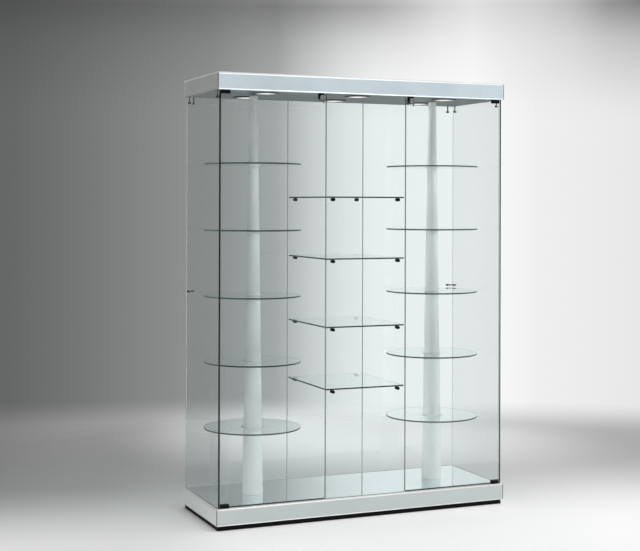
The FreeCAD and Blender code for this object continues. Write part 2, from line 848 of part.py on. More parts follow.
def makeElectrics():
    """Lighting transformer on the soffit and the two mains inlet grommets."""
    long, wide, high = transformerSize
    x = lightX / 2
    case = box((x - long / 2, x + long / 2), (-wide / 2, wide / 2), (soffitTop, soffitTop + high))
    write("lighting_transformer", [softened(case, transformerChamfer)])
    grommets = []
    for level in (baseFixingLevel, canopyFixingLevel):
        start = (halfWidth - inletSideInset, halfDepth - railWall, level)
        grommets.append(cut(rod(grommetDiameter, railWall, start, (0, 1, 0)),
                            [rod(grommetBore, railWall, start, (0, 1, 0))]))
    write("cable_grommets", grommets)


# ---------------------------------------------------------------- doors, hinges and locks

def clampBlock(bottom, slot):
    """A hinge clamp with a round heel about the pivot and a slot for the door glass."""
    toe = -pivotX - pivotInset + clampLength
    z = (bottom, bottom + clampHeight)
    half = clampThickness / 2
    heel = rod(2 * pivotInset, clampHeight, (-pivotX, -pivotY, bottom)).common(
        box((-pivotX - pivotInset, -pivotX), (-pivotY - half, -pivotY + half), z))
    arm = softened(box((-pivotX, toe), (-pivotY - half, -pivotY + half), z), fittingChamfer,
                   lambda edge: abs(edge.CenterOfMass.x - toe) < 0.01)
    glass = box((-pivotX - 2 * pivotInset, toe),
                (-pivotY - glassThickness / 2, -pivotY + glassThickness / 2), slot)
    return cut(joined([heel, arm]), [glass])


def makeDoors():
    """Door glass, hinge clamps and pivot pins."""
    glass = box((-doorOuter, -doorInner), (-frontOuter, -frontFace), (doorBottom, doorTop))
    pane = softened(glass, edgeChamfer)
    write("door_pane_left", [pane])
    write("door_pane_right", mirrored([pane]))

    footBottom = floorLevel + clampRunGap
    headBottom = canopyLevel - clampRunGap - clampHeight
    footPin = rod(hingePinDiameter, hingePinReach + doorBottom - floorLevel,
                  (-pivotX, -pivotY, floorLevel - hingePinReach))
    headPin = rod(hingePinDiameter, hingePinReach + canopyLevel - doorTop, (-pivotX, -pivotY, doorTop))
    foot = cut(clampBlock(footBottom, (doorBottom, footBottom + clampHeight)), [footPin])
    head = cut(clampBlock(headBottom, (headBottom, doorTop)), [headPin])
    clamps = [foot, head, footPin, headPin]
    write("hinge_clamps_left", clamps)
    write("hinge_clamps_right", mirrored(clamps))


def lockBody():
    """A lock that straddles the top edge of the door near its free edge."""
    x = (-lockX - lockWidth / 2, -lockX + lockWidth / 2)
    bar = box(x, (lockFront, -frontOuter), (lockTop - lockBarHeight, lockTop))
    barrel = rod(lockBarrelDiameter, lockFrontReach, (-lockX, lockFront, lockAxisZ), (0, 1, 0))
    bridge = box(x, (-frontOuter, -frontFace), (doorTop, lockTop))
    leg = box(x, (-frontFace, -frontFace + lockRearReach), (lockTop - lockLegDrop, lockTop))
    plugBore = rod(plugDiameter + 2 * runningFit, plugDepth, (-lockX, lockFront, lockAxisZ), (0, 1, 0))
    boltBore = rod(boltDiameter + 2 * runningFit, lockTop - boltBoreBottom, (-lockX, boltY, boltBoreBottom))
    return cut(joined([bar, barrel, bridge, leg]), [plugBore, boltBore])


def keeperHole(side):
    """The socket of the bolt keeper in the canopy front rail."""
    socket = keeperMouth + 2 * (keeperWall + socketFit)
    return rod(socket, keeperDepth, (side * lockX, boltY, canopyLevel))


def lockPlug():
    """The plug that the key turns, with its slot."""
    plugFace = lockFront - plugProud
    slotHalf = keyThickness / 2 + keySlotClearance
    slotTop = keyBladeHeight / 2 + keySlotClearance
    plug = rod(plugDiameter, plugProud + plugDepth - plugEndGap, (-lockX, plugFace, lockAxisZ), (0, 1, 0))
    slot = box((-lockX - slotHalf, -lockX + slotHalf), (plugFace, plugFace + keyBladeLength + keyEndGap),
               (lockAxisZ - slotTop, lockAxisZ + slotTop))
    return cut(plug, [slot])


def lockKey():
    """A key with its blade in the plug, a shank and a slender upright bow."""
    plugFace = lockFront - plugProud
    shankEnd = plugFace - keyShankLength
    bowFront = shankEnd - keyBowDepth
    bowBottom = lockAxisZ - keyBowDrop
    bladeHalf = keyBladeHeight / 2
    shankHalf = keyShankHeight / 2
    x = (-lockX - keyThickness / 2, -lockX + keyThickness / 2)
    blade = box(x, (plugFace, plugFace + keyBladeLength), (lockAxisZ - bladeHalf, lockAxisZ + bladeHalf))
    shank = box(x, (shankEnd, plugFace), (lockAxisZ - shankHalf, lockAxisZ + shankHalf))
    bow = box(x, (bowFront, shankEnd), (bowBottom, lockAxisZ + keyBowTop))
    bow = bow.makeFillet(keyBowRound, [edge for edge in bow.Edges if abs(edge.tangentAt(0).x) > 0.9])
    hole = rod(keyHoleDiameter, keyThickness, (x[0], (bowFront + shankEnd) / 2, bowBottom + keyBowDepth / 2),
               (1, 0, 0))
    return cut(joined([blade, shank, bow]), [hole])


def makeLocks():
    """Lock body, plug, key and bolt of each door, and the keepers in the canopy front rail."""
    bolt = rod(boltDiameter, boltLength, (-lockX, boltY, boltBoreBottom + boltEndGap))
    pieces = {"lock_body": lockBody(), "lock_plug": lockPlug(), "lock_key": lockKey(), "lock_bolt": bolt}
    for name, solid in pieces.items():
        write(name + "_left", [solid])
        write(name + "_right", mirrored([solid]))

    cup = rod(keeperMouth + 2 * keeperWall, keeperDepth, (-lockX, boltY, canopyLevel))
    mouth = rod(keeperMouth, keeperDepth - keeperWall, (-lockX, boltY, canopyLevel))
    cups = [cut(cup, [mouth])]
    write("bolt_keepers", cups + mirrored(cups))


os.makedirs("parts", exist_ok=True)
makePlinth()
makeFeet()
makeBoards()
makeRails()
makeBrackets()
makePanes()
makeChannels()
makeCentreShelves()
makePegs()
makeClips()
makeColumns()
makeBushes()
makeGearmotors()
makeDownlights()
makeElectrics()
makeDoors()
makeLocks()
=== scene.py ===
import math

import bpy
from mathutils import Matrix, Vector


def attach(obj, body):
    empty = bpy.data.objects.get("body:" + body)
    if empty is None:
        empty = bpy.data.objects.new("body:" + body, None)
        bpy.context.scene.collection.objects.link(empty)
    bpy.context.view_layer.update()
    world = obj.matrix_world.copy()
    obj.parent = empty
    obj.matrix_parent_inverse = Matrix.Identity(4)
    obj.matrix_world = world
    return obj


# Revolving glass display cabinet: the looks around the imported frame.
# Metres, +Z up, the front faces -Y, the origin is on the floor under the middle.

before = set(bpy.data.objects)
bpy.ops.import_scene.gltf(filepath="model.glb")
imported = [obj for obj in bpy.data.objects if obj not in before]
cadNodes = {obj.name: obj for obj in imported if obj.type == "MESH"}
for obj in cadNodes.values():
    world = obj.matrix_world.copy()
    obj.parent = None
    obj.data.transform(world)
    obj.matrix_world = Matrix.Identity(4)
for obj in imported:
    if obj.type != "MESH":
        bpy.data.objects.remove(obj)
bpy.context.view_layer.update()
sides = ("left", "right")
bpy.context.scene.view_settings.view_transform = "Standard"
print("frame loaded:", len(cadNodes), "nodes")


viewpoint = {
    "place": (-2.3615, -5.2893, 1.3256),
    "yaw": 22.971,      # degrees from +Y towards +X
    "pitch": 0.292,
    "roll": 0.170,
    "lens": 74.306,
    "sensor": 36,
    "shiftDown": 0.12389,
    "near": 0.05,
    "far": 60,
}


def makeCamera():
    cameraData = bpy.data.cameras.new("camera")
    cameraData.sensor_width = viewpoint["sensor"]
    cameraData.lens = viewpoint["lens"]
    cameraData.shift_y = -viewpoint["shiftDown"]
    cameraData.clip_start = viewpoint["near"]
    cameraData.clip_end = viewpoint["far"]
    camera = bpy.data.objects.new("camera", cameraData)
    bpy.context.scene.collection.objects.link(camera)
    turn = Matrix.Rotation(math.radians(-viewpoint["yaw"]), 4, "Z")
    tilt = Matrix.Rotation(math.radians(90 + viewpoint["pitch"]), 4, "X")
    roll = Matrix.Rotation(math.radians(viewpoint["roll"]), 4, "Z")
    camera.matrix_world = Matrix.Translation(viewpoint["place"]) @ turn @ tilt @ roll
    bpy.context.scene.camera = camera


makeCamera()


# helpers that add nodes to a material, a node group or the world

def newMaterial(name):
    material = bpy.data.materials.new(name)
    material.use_nodes = True
    material.node_tree.nodes.clear()
    return material, material.node_tree


def addNode(tree, kind, **values):
    node = tree.nodes.new(kind)
    for key, value in values.items():
        setattr(node, key, value)
    return node


def link(tree, source, target):
    tree.links.new(source, target)


def feed(tree, value, socket):
    # links another node's output, or sets a plain value; None leaves the socket as it is
    if isinstance(value, bpy.types.NodeSocket):
        link(tree, value, socket)
    elif isinstance(value, tuple) and socket.type == "RGBA":
        socket.default_value = value + (1.0,)
    elif value is not None:
        socket.default_value = value


def calculate(tree, operation, first, second=None, clamp=False):
    node = addNode(tree, "ShaderNodeMath", operation=operation, use_clamp=clamp)
    feed(tree, first, node.inputs[0])
    feed(tree, second, node.inputs[1])
    return node.outputs[0]


def mixColour(tree, factor, first, second, blend="MIX"):
    node = addNode(tree, "ShaderNodeMix", data_type="RGBA", blend_type=blend)
    for index, value in ((0, factor), (6, first), (7, second)):     # its factor and colour sockets
        feed(tree, value, node.inputs[index])
    return node.outputs[2]


def multiply(tree, first, second):
    return mixColour(tree, 1.0, first, second, "MULTIPLY")


def ramp(tree, source, stops, easing="LINEAR"):
    # stops are (position, grey or colour) pairs
    node = addNode(tree, "ShaderNodeValToRGB")
    node.color_ramp.interpolation = easing
    elements = node.color_ramp.elements
    elements.remove(elements[1])
    for index, (place, shade) in enumerate(stops):
        element = elements.new(place) if index else elements[0]
        element.position = place
        colour = shade if isinstance(shade, tuple) else (shade, shade, shade)
        element.color = colour + (1.0,)
    link(tree, source, node.inputs[0])
    return node.outputs[0]


def mapRange(tree, source, low, high, newLow=0.0, newHigh=1.0, smooth=False):
    node = addNode(tree, "ShaderNodeMapRange", clamp=True)
    if smooth:
        node.interpolation_type = "SMOOTHSTEP"
    for index, value in enumerate((source, low, high, newLow, newHigh)):
        feed(tree, value, node.inputs[index])
    return node.outputs[0]


def fadeIn(tree, source, span):
    return mapRange(tree, source, span[0], span[1], smooth=True)


def fadeOut(tree, source, span):
    return mapRange(tree, source, span[0], span[1], 1.0, 0.0, smooth=True)


def objectPoint(tree):
    return addNode(tree, "ShaderNodeTexCoord").outputs["Object"]


def axes(tree, point):
    parts = addNode(tree, "ShaderNodeSeparateXYZ")
    link(tree, point, parts.inputs[0])
    return parts.outputs


def vectorMath(tree, operation, first, second=None):
    node = addNode(tree, "ShaderNodeVectorMath", operation=operation)
    feed(tree, first, node.inputs[0])
    feed(tree, second, node.inputs[1])
    return node.outputs


def noise(tree, point, scale, detail):
    node = addNode(tree, "ShaderNodeTexNoise")
    feed(tree, point, node.inputs["Vector"])
    feed(tree, scale, node.inputs["Scale"])
    feed(tree, detail, node.inputs["Detail"])
    return node.outputs[0]


def relief(tree, height, strength, depth, under=None):
    node = addNode(tree, "ShaderNodeBump")
    feed(tree, strength, node.inputs["Strength"])
    feed(tree, depth, node.inputs["Distance"])
    feed(tree, height, node.inputs["Height"])
    feed(tree, under, node.inputs["Normal"])
    return node.outputs[0]


def mixShaders(tree, factor, first, second):
    node = addNode(tree, "ShaderNodeMixShader")
    for index, value in enumerate((factor, first.outputs[0], second.outputs[0])):
        feed(tree, value, node.inputs[index])
    return node


def toSurface(tree, shader, kind="ShaderNodeOutputMaterial"):
    link(tree, shader.outputs[0], addNode(tree, kind).inputs[0])


# Bearings are in degrees from +Y towards +X, and rises in degrees above level.
room = {
    "wall": [(-180, 0.45), (-160, 0.70), (-130, 0.36), (-95, 0.18), (-60, 0.20), (-23, 0.25),
             (-10, 0.22), (0, 0.13), (9.5, 0.135), (12.5, 0.18), (18.5, 0.30), (21.2, 0.45),
             (23, 0.78), (25, 1.0), (30.2, 1.0), (31.4, 0.88), (35, 0.83), (40, 0.74), (60, 0.80),
             (113, 0.85), (140, 0.85), (150, 0.60), (158, 0.26), (166, 0.26), (180, 0.45)],
    "tint": [(-120, (1.0, 1.0, 1.0)), (-50, (1.0, 0.975, 0.94)), (9, (0.96, 1.0, 0.975)),
             (22, (0.985, 1.0, 0.995)), (31, (1.0, 1.0, 1.0))],
    # how much the wall darkens a few degrees up, by bearing and by rise
    "topShade": [(-180, 0.0), (0, 0.30), (15, 0.44), (19, 0.42), (22.5, 0.62), (25.5, 0.60),
                 (29, 0.25), (33, 0.30), (36, 0.74), (45, 0.3), (60, 0.0), (180, 0.0)],
    "topShadeRise": [(3.9, 0.0), (6.0, 0.32), (6.9, 0.48), (8.4, 1.0), (9.0, 1.0), (9.7, 0.0)],
    # the ground just below the wall
    "ground": [(-180, 0.85), (-120, 0.95), (-60, 0.90), (-20, 0.30), (9, 0.21), (15, 0.36),
               (21, 0.82), (27, 0.90), (31, 0.58), (36, 0.43), (60, 0.60), (90, 0.85), (180, 0.85)],
    "groundEdge": (-9.6, -8.3),
    # a slightly darker band higher up behind the object
    "band": [(-60, 1.0), (-20, 0.92), (60, 0.92), (100, 1.0)],
    "bandRise": [(9, 0.0), (12, 1.0), (24, 1.0), (34, 0.0)],
    "overhead": (0.88, 0.88, 0.88),
    "overheadRise": (19, 45),
}


def at(bearing):
    return 0.5 + bearing / 360


def up(rise):
    return 0.5 + rise / 180


def makeWorld():
    world = bpy.data.worlds.new("studio")
    world.use_nodes = True
    tree = world.node_tree
    tree.nodes.clear()
    x, y, z = axes(tree, addNode(tree, "ShaderNodeTexCoord").outputs["Generated"])
    bearing = calculate(tree, "ARCTAN2", x, y)
    across = mapRange(tree, bearing, -math.pi, math.pi)           # 0.5 is +Y, more is towards +X
    rise = calculate(tree, "ARCSINE", z)
    height = mapRange(tree, rise, -math.pi / 2, math.pi / 2)      # 0.5 is level, 1 is straight up

    def byBearing(stops):
        return ramp(tree, across, [(at(place), shade) for place, shade in stops])

    def byRise(stops):
        return ramp(tree, height, [(up(place), shade) for place, shade in stops])

    shadow = calculate(tree, "MULTIPLY", byBearing(room["topShade"]), byRise(room["topShadeRise"]))
    path = addNode(tree, "ShaderNodeLightPath")
    direct = calculate(tree, "LESS_THAN", path.outputs["Glossy Depth"], 0.5)    # not in reflections
    dim = calculate(tree, "SUBTRACT", 1.0, calculate(tree, "MULTIPLY", shadow, direct))
    wall = multiply(tree, byBearing(room["wall"]), dim)
    wall = multiply(tree, wall, byBearing(room["tint"]))
    isWall = fadeIn(tree, height, [up(rise) for rise in room["groundEdge"]])
    shade = mixColour(tree, isWall, byBearing(room["ground"]), wall)
    banded = multiply(tree, shade, byBearing(room["band"]))
    shade = mixColour(tree, byRise(room["bandRise"]), shade, banded)
    above = fadeIn(tree, height, [up(rise) for rise in room["overheadRise"]])
    shade = mixColour(tree, above, shade, room["overhead"])
    background = addNode(tree, "ShaderNodeBackground")
    link(tree, shade, background.inputs[0])
    toSurface(tree, background, "ShaderNodeOutputWorld")
    bpy.context.scene.world = world


# Aside and away are measured from the object's middle as the camera faces, in metres.
floorSheet = {
    "radius": 3.2,
    "corners": 96,
    "fade": (2.0, 2.72),        # where the sheet gives way to the room
    "halfSpan": 2.0,
    # painted light and shade on the floor: lighter in front of the object, darker further back,
    # darkest behind on the left
    "near": [(-2.0, 0.84), (-0.9, 0.80), (-0.2, 0.99), (1.0, 0.91), (2.0, 0.77)],
    "far": [(-2.0, 0.27), (-1.2, 0.34), (-0.7, 0.40), (0.0, 0.54), (1.0, 0.54), (1.9, 0.44)],
    "farFrom": (-0.55, 0.75),
    "farSlant": 0.27,
    # a pool of light behind on the right
    "pool": {"shade": (0.97, 0.97, 0.97), "middle": (0.12, 1.85, 0), "fade": (0.306, 1.53)},
    # painted light: a bright strip on the floor along the front of the base, by place on the floor
    "paintedLightStrip": {"shade": (0.97, 0.97, 0.96), "left": (-0.75, -0.45), "right": (0.40, 0.80),
              "front": (-0.50, -0.26), "back": (-0.20, 0.0)},
    "mottle": {"scale": 3.0, "detail": 4.0, "tones": [(0.3, 0.985), (0.7, 1.0)]},
}


def makeFloor():
    bpy.ops.object.select_all(action="DESELECT")
    bpy.ops.mesh.primitive_circle_add(vertices=floorSheet["corners"], radius=floorSheet["radius"],
                                      fill_type="NGON")
    floor = bpy.context.object
    floor.name = "floor"
    material, tree = newMaterial("floorPaper")
    point = objectPoint(tree)
    turn = addNode(tree, "ShaderNodeMapping")
    turn.inputs["Rotation"].default_value = (0, 0, math.radians(viewpoint["yaw"]))
    link(tree, point, turn.inputs[0])
    aside, away, _ = axes(tree, turn.outputs[0])
    half = floorSheet["halfSpan"]
    across = mapRange(tree, aside, -half, half)

    def byAside(stops):
        return ramp(tree, across, [(0.5 + place / (2 * half), shade) for place, shade in stops],
                    "EASE")

    # painted light and shade: the near and far tones, by place on the floor
    slant = calculate(tree, "MULTIPLY", aside, floorSheet["farSlant"])
    isFar = fadeIn(tree, calculate(tree, "SUBTRACT", away, slant), floorSheet["farFrom"])
    shade = mixColour(tree, isFar, byAside(floorSheet["near"]), byAside(floorSheet["far"]))

    pool = floorSheet["pool"]
    distance = vectorMath(tree, "DISTANCE", turn.outputs[0], pool["middle"])[1]
    shade = mixColour(tree, fadeOut(tree, distance, pool["fade"]), shade, pool["shade"])

    # painted light on a strip of floor along the front of the base
    paintedLightStrip = floorSheet["paintedLightStrip"]
    x, y, _ = axes(tree, point)
    inPaintedLightStrip = fadeIn(tree, y, paintedLightStrip["front"])
    for edge in (fadeOut(tree, y, paintedLightStrip["back"]), fadeIn(tree, x, paintedLightStrip["left"]),
                 fadeOut(tree, x, paintedLightStrip["right"])):
        inPaintedLightStrip = calculate(tree, "MULTIPLY", inPaintedLightStrip, edge)
    shade = mixColour(tree, inPaintedLightStrip, shade, paintedLightStrip["shade"])

    mottle = floorSheet["mottle"]
    texture = noise(tree, point, mottle["scale"], mottle["detail"])
    shade = multiply(tree, shade, ramp(tree, texture, mottle["tones"]))
    paper = addNode(tree, "ShaderNodeBsdfDiffuse")
    link(tree, shade, paper.inputs[0])
    clear = addNode(tree, "ShaderNodeBsdfTransparent")
    length = vectorMath(tree, "LENGTH", point)[1]
    toSurface(tree, mixShaders(tree, fadeIn(tree, length, floorSheet["fade"]), paper, clear))
    floor.data.materials.append(material)


lamps = {
    "keyLamp": {"place": (1.3, -2.2, 4.5), "size": 1.2, "power": 42.0, "hidden": False},
    "rightLamp": {"place": (1.78, -1.10, 1.45), "size": 0.6, "power": 8.0},
    "fillLamp": {"place": (-2.3, -0.95, 0.20), "size": 0.7, "power": 5.5},
    # tall and narrow, behind on the left: it lights the left side of the right column
    "columnLamp": {"place": (-1.857, 1.018, 1.08), "aim": (0.428, 0.0, 1.08), "size": 0.2,
                   "tall": 1.7, "power": 1.9, "spread": 13},
}


def makeLamp(name, place, size, power, aim=(0, 0, 0.9), tall=None, spread=180, hidden=True):
    # no lamp shows to the camera, and a hidden one doesn't show in the panes either
    lamp = bpy.data.lights.new(name, "AREA")
    lamp.shape = "RECTANGLE" if tall else "DISK"
    lamp.size = size
    if tall:
        lamp.size_y = tall
    lamp.spread = math.radians(spread)
    lamp.energy = power
    lampObject = bpy.data.objects.new(name, lamp)
    bpy.context.scene.collection.objects.link(lampObject)
    lampObject.location = place
    beam = Vector(aim) - Vector(place)
    lampObject.rotation_euler = beam.to_track_quat("-Z", "Y").to_euler()
    lampObject.visible_camera = False
    lampObject.visible_glossy = not hidden
    lampObject.visible_transmission = not hidden


makeWorld()
makeFloor()
for name, values in lamps.items():
    makeLamp(name, **values)
print("studio ready")


# effects that several materials share, as node groups

noiseLow, noiseHigh = 0.3, 0.7      # where most of a noise texture's values lie
grainDetail, cloudDetail = 3.0, 5.0
fineRelief = 0.0003                 # depth of the drawn grain
squareOn, slantwise = 0.95, 0.5     # how much a broad face and a cut edge face the broad direction


def newGroup(name, ins, outs):
    group = bpy.data.node_groups.new(name, "ShaderNodeTree")
    for label, kind, value in ins:
        socket = group.interface.new_socket(name=label, in_out="INPUT",
                                            socket_type="NodeSocket" + kind)
        socket.default_value = value
    for label in outs:
        group.interface.new_socket(name=label, in_out="OUTPUT", socket_type="NodeSocketFloat")
    return group, addNode(group, "NodeGroupInput"), addNode(group, "NodeGroupOutput")


def useGroup(tree, group, **values):
    node = addNode(tree, "ShaderNodeGroup", node_tree=group)
    for key, value in values.items():
        feed(tree, value, node.inputs[key])
    return node


def edgeFinder():
    # 0 on a piece's two broad faces, 1 on the faces across them, such as a pane's cut edges
    group, start, end = newGroup("edgeFinder", [("Broad", "Vector", (0, 0, 1))], ["Mask"])
    normal = addNode(group, "ShaderNodeTexCoord").outputs["Normal"]
    facing = vectorMath(group, "DOT_PRODUCT", normal, start.outputs["Broad"])[1]
    size = calculate(group, "ABSOLUTE", facing)
    link(group, mapRange(group, size, squareOn, slantwise), end.inputs["Mask"])
    return group


def fineGrain():
    # drawn grain along one direction, and a slow cloudy change
    group, start, end = newGroup("fineGrain", [("Stretch", "Vector", (1, 1, 1)),
                                               ("Scale", "Float", 900.0), ("Cloud", "Float", 6.0)],
                                 ["Grain", "Cloud"])
    point = objectPoint(group)
    stretched = vectorMath(group, "MULTIPLY", point, start.outputs["Stretch"])[0]
    grain = noise(group, stretched, start.outputs["Scale"], grainDetail)
    cloud = noise(group, point, start.outputs["Cloud"], cloudDetail)
    link(group, grain, end.inputs["Grain"])
    link(group, cloud, end.inputs["Cloud"])
    return group


edges = edgeFinder()
grains = fineGrain()


def cloudTone(tree, texture, darkest):
    return ramp(tree, texture.outputs["Cloud"], [(noiseLow, darkest), (noiseHigh, 1.0)])


def dress(material, *names):
    for name in names:
        for slot in cadNodes[name].material_slots:
            slot.material = material


def both(*names):
    return [name + "_" + side for name in names for side in sides]


# panes and shelves
paneTint = (0.944, 0.975, 0.973)
darkEdge = (0.035, 0.085, 0.070)
glassware = {
    "doorGlass": {"broad": (0, 1, 0), "tint": paneTint, "edgeTint": darkEdge,
                  "edgeRoughness": 0.25},
    "rearGlass": {"broad": (0, 1, 0), "tint": paneTint, "edgeTint": (0.80, 0.90, 0.88),
                  "edgeRoughness": 0.5},
    "sideGlass": {"broad": (1, 0, 0), "tint": paneTint, "edgeTint": darkEdge,
                  "edgeRoughness": 0.25},
    "shelfGlass": {"broad": (0, 0, 1), "tint": (0.90, 0.985, 0.98), "edgeTint": (0.02, 0.11, 0.10),
                   "edgeRoughness": 0.2},
}
glassNodes = {
    "doorGlass": ["front_pane_centre", *both("door_pane")],
    "rearGlass": ["rear_pane_left", "rear_pane_centre", "rear_pane_right"],
    "sideGlass": both("side_pane"),
    "shelfGlass": ["centre_shelves", *both(*["round_shelf_%d" % row for row in range(1, 6)])],
}
clearGlass = {
    "index": 1.5,
    "grain": 14.0,
    "cloud": 2.0,
    "faintest": 0.99,               # how far the tint varies
    "edgeDarkest": 0.8,
    "shadow": (0.93, 0.97, 0.96),   # what the lamps' light keeps as it passes through
}


def glass(name, broad, tint, edgeTint, edgeRoughness):
    # clear glass with its own finish on the cut edges
    material, tree = newMaterial(name)
    mask = useGroup(tree, edges, Broad=broad).outputs["Mask"]
    texture = useGroup(tree, grains, Scale=clearGlass["grain"], Cloud=clearGlass["cloud"])
    faint = tuple(part * clearGlass["faintest"] for part in tint)
    dark = tuple(part * clearGlass["edgeDarkest"] for part in edgeTint)
    faces = mixColour(tree, texture.outputs["Cloud"], faint, tint)
    rims = mixColour(tree, texture.outputs["Grain"], dark, edgeTint)
    shader = addNode(tree, "ShaderNodeBsdfPrincipled")
    link(tree, mixColour(tree, mask, faces, rims), shader.inputs["Base Color"])
    link(tree, mapRange(tree, mask, 0.0, 1.0, 0.0, edgeRoughness), shader.inputs["Roughness"])
    shader.inputs["Metallic"].default_value = 0.0
    shader.inputs["IOR"].default_value = clearGlass["index"]
    shader.inputs["Transmission Weight"].default_value = 1.0
    clear = addNode(tree, "ShaderNodeBsdfTransparent")
    feed(tree, clearGlass["shadow"], clear.inputs[0])
    path = addNode(tree, "ShaderNodeLightPath")
    toSurface(tree, mixShaders(tree, path.outputs["Is Shadow Ray"], shader, clear))
    return material


for name, values in glassware.items():
    dress(glass(name, **values), *glassNodes[name])
print("panes and shelves dressed")


# base and canopy rails
rail = {
    # painted light and shade: the front and side tones are lit and shaded copies of one rail metal,
    # the base's sides lighter than its front, the canopy's sides darker
    "baseFront": (0.675, 0.725, 0.727),
    "baseSide": (0.96, 1.0, 0.98),
    "canopyFront": (0.735, 0.838, 0.897),
    "canopySide": (0.665, 0.700, 0.685),
    "metallic": 0.72,
    "roughness": 0.46,
    "glossChange": 0.04,
    "stretch": (6, 6, 60),
    "grain": 12.0,
    "grainTones": [(0.2, 0.97), (0.8, 1.0)],
    "cloudDarkest": 0.95,
    "brushed": 0.05,
    # the rounded edges: the tone of their painted highlight, its width at the top and the bottom,
    # and the depth of the rounding
    "bright": (1.0, 1.0, 0.99),
    "band": 0.0085,
    "lip": 0.0050,
    "lipRelief": 0.8,
    "roundness": 2.0,
    "rounding": 0.012,
    "brightFade": (0.05, 0.45),
    # the rails' lowest and highest level, and how strong the lower edge's painted highlight and
    # rounding are
    "base": {"Low": 0.020, "High": 0.091, "Lip": 0.6},
    "canopy": {"Low": 1.783, "High": 1.855, "Lip": 0.2},
    # the mitred corners, as distances from the middle: the rounding, the joint line across X
    # and across Y, and the painted highlight on the ends at the rear
    "corner": (0.6600, 0.6650),
    "jointX": (0.6628, 0.6636),
    "jointY": (0.2286, 0.2292),
    "rearEnd": (0.2255, 0.2270),
    "joint": (0.10, 0.11, 0.11),    # tone of the joint line
}


def railEdges():
    # a rail's rounded top edge and lower lip with a painted highlight, a painted highlight on its
    # rear ends, and the thin joint line on its mitred corners
    group, start, end = newGroup("railEdges", [("Low", "Float", 0.0), ("High", "Float", 1.0),
                                               ("Lip", "Float", 0.5)], ["Mask", "Relief", "Joint"])
    x, y, z = axes(group, objectPoint(group))
    fromMiddle = calculate(group, "ABSOLUTE", x)
    below = calculate(group, "SUBTRACT", start.outputs["High"], z)
    above = calculate(group, "SUBTRACT", z, start.outputs["Low"])
    top = mapRange(group, below, 0.0, rail["band"], 1.0, 0.0)
    lip = mapRange(group, above, 0.0, rail["lip"], 1.0, 0.0)
    lip = calculate(group, "MULTIPLY", lip, start.outputs["Lip"])
    bright = calculate(group, "MAXIMUM", top, lip)

    height = calculate(group, "MULTIPLY", lip, rail["lipRelief"])
    for edge in (top, mapRange(group, fromMiddle, *rail["corner"])):
        fall = calculate(group, "POWER", edge, rail["roundness"])
        height = calculate(group, "SUBTRACT", height, fall)
    link(group, height, end.inputs["Relief"])

    acrossX = mapRange(group, fromMiddle, *rail["jointX"])
    acrossY = mapRange(group, calculate(group, "ABSOLUTE", y), *rail["jointY"])
    rearEnd = calculate(group, "MULTIPLY", acrossX, mapRange(group, y, *rail["rearEnd"]))
    joint = calculate(group, "MULTIPLY", acrossX, acrossY)
    for other in (rearEnd, bright):
        rest = calculate(group, "SUBTRACT", 1.0, other, clamp=True)
        joint = calculate(group, "MULTIPLY", joint, rest)
    link(group, joint, end.inputs["Joint"])
    bright = fadeIn(group, bright, rail["brightFade"])
    link(group, calculate(group, "MAXIMUM", bright, rearEnd), end.inputs["Mask"])
    return group


railBands = railEdges()


def railMetal(name, front, side, levels):
    material, tree = newMaterial(name)
    texture = useGroup(tree, grains, Stretch=rail["stretch"], Scale=rail["grain"])
    edge = useGroup(tree, railBands, **levels)
    facing = useGroup(tree, edges, Broad=(0, 1, 0))
    # painted light and shade: faces towards the front or back take the front tone, all others the
    # side tone
    tone = mixColour(tree, facing.outputs["Mask"], front, side)
    tone = multiply(tree, tone, ramp(tree, texture.outputs["Grain"], rail["grainTones"]))
    tone = multiply(tree, tone, cloudTone(tree, texture, rail["cloudDarkest"]))
    # painted highlight on the rounded edges and the rear ends
    tone = mixColour(tree, edge.outputs["Mask"], tone, rail["bright"])
    tone = mixColour(tree, edge.outputs["Joint"], tone, rail["joint"])
    gloss = mapRange(tree, texture.outputs["Cloud"], noiseLow, noiseHigh,
                     rail["roughness"] - rail["glossChange"],
                     rail["roughness"] + rail["glossChange"])
    brushed = relief(tree, texture.outputs["Grain"], rail["brushed"], fineRelief)
    rounded = relief(tree, edge.outputs["Relief"], 1.0, rail["rounding"], under=brushed)
    shader = addNode(tree, "ShaderNodeBsdfPrincipled")
    link(tree, tone, shader.inputs["Base Color"])
    link(tree, gloss, shader.inputs["Roughness"])
    link(tree, rounded, shader.inputs["Normal"])
    shader.inputs["Metallic"].default_value = rail["metallic"]
    toSurface(tree, shader)
    return material


for part in ("base", "canopy"):
    metalOfPart = railMetal(part + "RailMetal", rail[part + "Front"], rail[part + "Side"],
                            rail[part])
    dress(metalOfPart, part + "_rails")
print("rails dressed")


